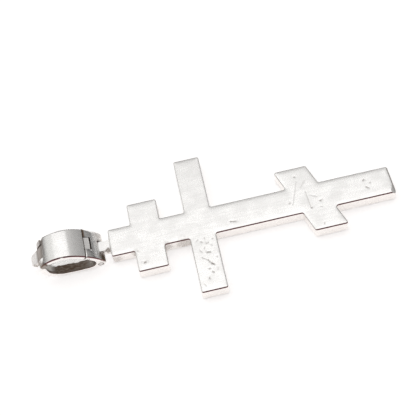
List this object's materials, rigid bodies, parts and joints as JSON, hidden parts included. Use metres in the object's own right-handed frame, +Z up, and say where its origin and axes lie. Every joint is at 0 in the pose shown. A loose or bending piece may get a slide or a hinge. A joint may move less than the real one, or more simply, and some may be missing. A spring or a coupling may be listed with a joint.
{
  "type": "orthodox cross pendant",
  "caption": "Flat orthodox cross with a short top bar, a long main bar and a slanted foot bar, on a hinged oval bail that swings on a pin and opens for a chain.",
  "frame": {"origin": "centre of the footprint, on the surface that the pendant lies on, front face down", "axes": "+X along the stem from the bail towards the foot, +Z up from the plain front face to the back face, +Y across the stem; the slanted bar's +Y end lies nearer to the bail"},
  "size_m": [0.0574, 0.024, 0.0058],
  "materials": {
    "plate_silver": "polished sterling silver with fine wear scratches and small pits",
    "bail_silver": "polished sterling silver, slightly darkened in the seams",
    "pin_silver": "silver wire filed flush"
  },
  "bodies": {
    "cross": {"cross": "plate_silver"},
    "bail": {"bail_hoop": "bail_silver", "cross_pin": "pin_silver", "hinge_pin": "pin_silver"},
    "arm": {"bail_arm": "bail_silver"}
  },
  "joints": [
    {"name": "bail_swing", "type": "hinge", "parent": "cross", "child": "bail", "pos_m": [-0.01824, 0, 0.00115], "axis": [0, 1, 0], "range_deg": [-90, 50]},
    {"name": "arm_hinge", "type": "hinge", "parent": "bail", "child": "arm", "pos_m": [-0.01979, 0, 0.00347], "axis": [0, 1, 0], "range_deg": [0, 75]}
  ]
}
